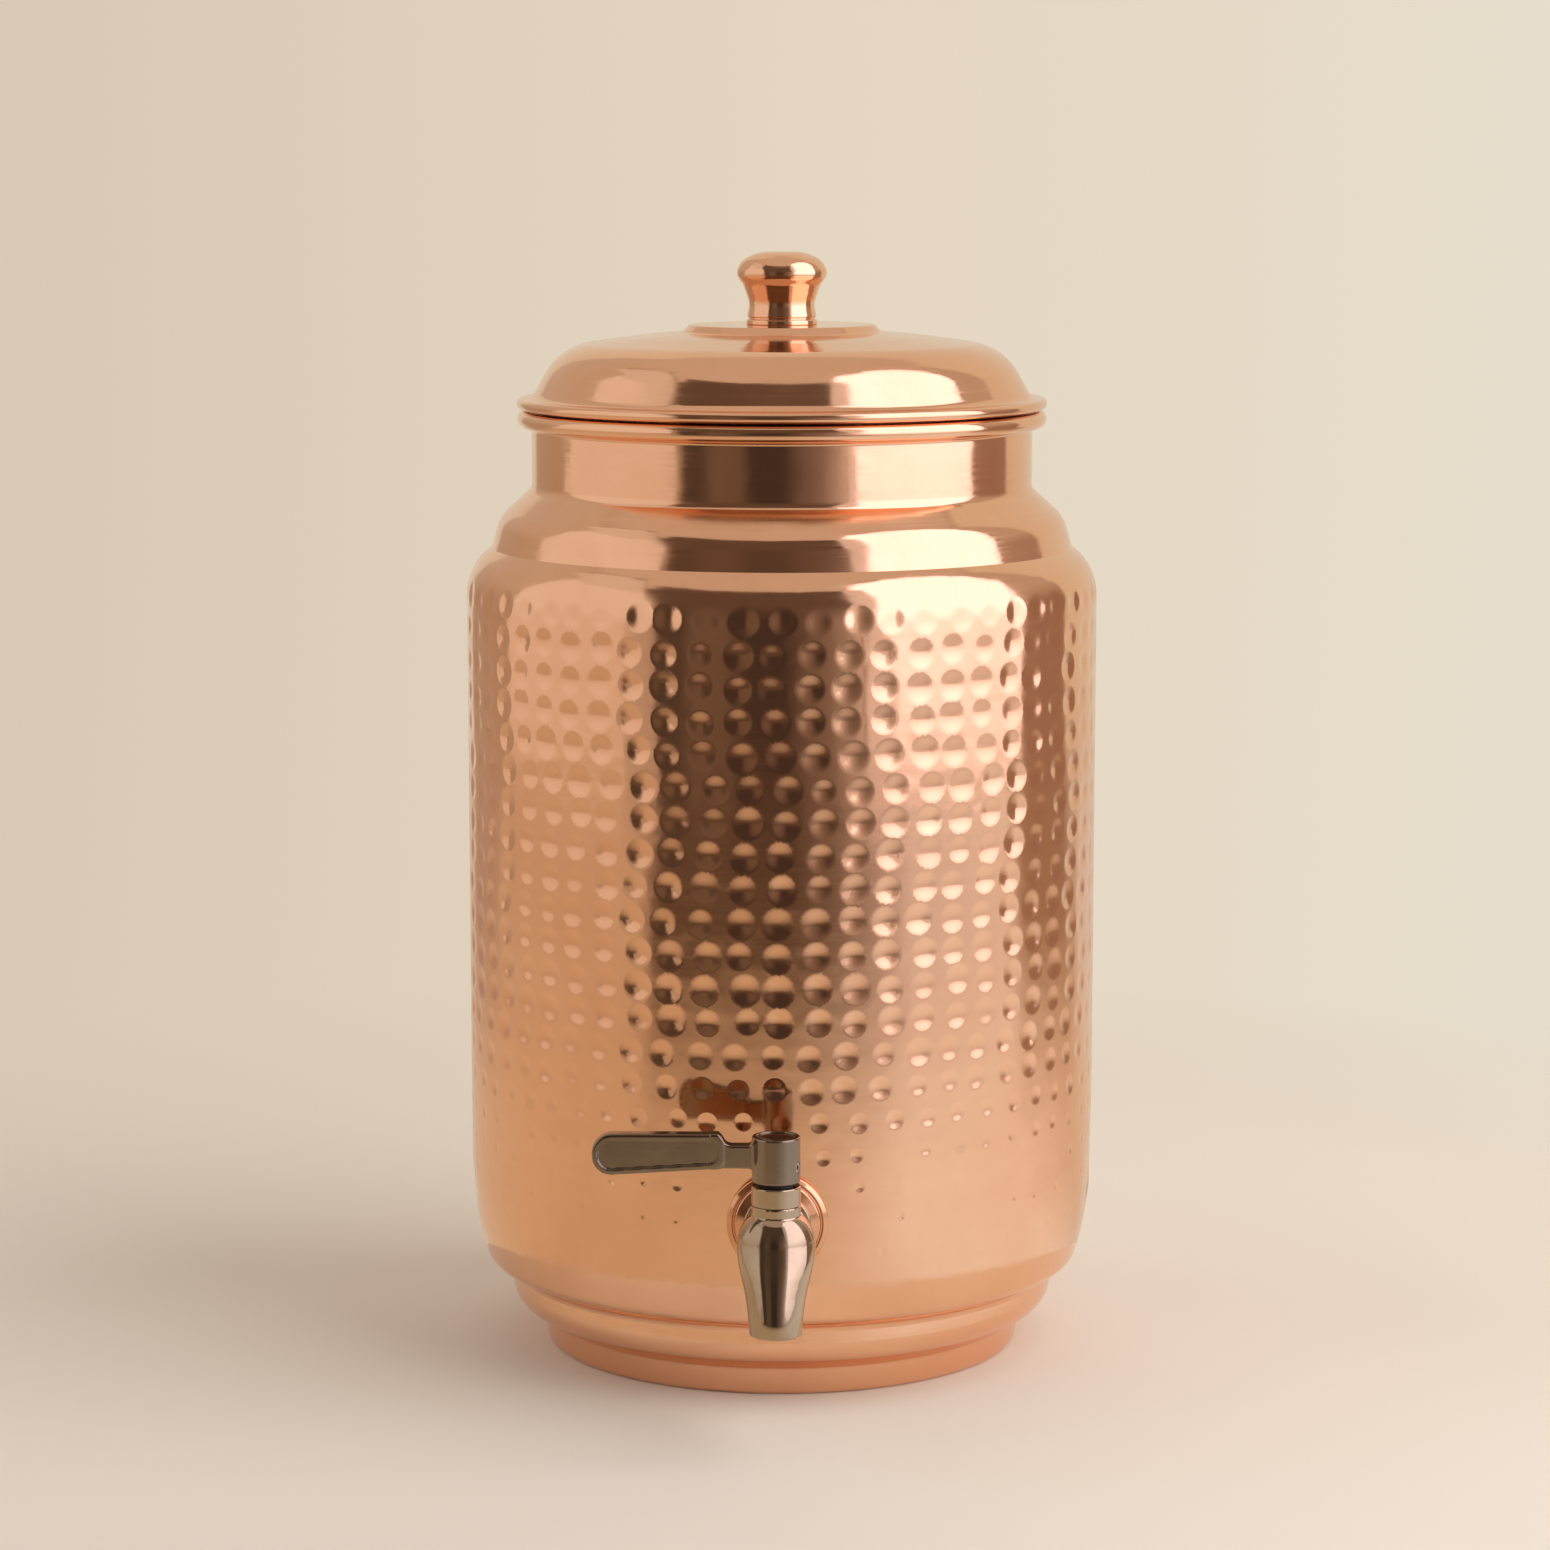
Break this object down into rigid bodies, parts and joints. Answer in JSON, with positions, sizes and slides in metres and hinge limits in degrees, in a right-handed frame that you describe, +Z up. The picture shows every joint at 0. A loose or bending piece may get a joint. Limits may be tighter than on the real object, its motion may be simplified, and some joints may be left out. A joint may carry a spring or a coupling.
{
  "type": "copper water dispenser",
  "caption": "Free-standing hammered copper water dispenser: stepped foot, straight neck, lift-off domed lid with a turned knob, and a quarter-turn lever tap.",
  "frame": {"origin": "on the vessel's axis, in the plane that the foot rests on", "axes": "+Z up along the vessel's axis, the tap is at the front, towards -Y, and its closed lever points to -X"},
  "size_m": [0.2, 0.2482, 0.3494],
  "materials": {
    "hammered_copper": "polished copper sheet with round hammer marks",
    "brushed_copper": "polished copper with fine turning lines",
    "polished_steel": "polished, slightly warm",
    "brushed_steel": "satin, dark and warm",
    "plain_steel": "plain",
    "valve_brass": "machined",
    "black_rubber": "matte",
    "white_plastic": "matte"
  },
  "bodies": {
    "vessel": {"barrel": "hammered_copper", "neck": "brushed_copper", "base_cup": "brushed_copper", "rim_wire": "plain_steel", "tap_body": "polished_steel", "tap_flange": "brushed_copper", "gasket_outer": "black_rubber", "gasket_inner": "black_rubber", "shank_washer": "plain_steel", "shank_nut": "plain_steel", "port_seal": "white_plastic", "thrust_washer": "white_plastic", "gland_nut": "polished_steel", "hub_washer": "black_rubber", "stop_pin": "plain_steel"},
    "lid": {"lid_dome": "brushed_copper", "lid_skirt": "brushed_copper", "lid_knob": "brushed_copper", "knob_washer": "plain_steel", "knob_screw": "plain_steel"},
    "tap_lever": {"lever": "brushed_steel", "hub_cap": "polished_steel", "grub_screw": "plain_steel", "valve_plug": "valve_brass", "plug_orings": "black_rubber"}
  },
  "joints": [
    {"name": "lid_lift", "type": "slide", "parent": "vessel", "child": "lid", "axis": [0, 0, 1], "range_m": [0, 0.12]},
    {"name": "tap_turn", "type": "hinge", "parent": "vessel", "child": "tap_lever", "pos_m": [0, -0.13, 0.0876], "axis": [0, 0, 1], "range_deg": [0, 90]}
  ]
}
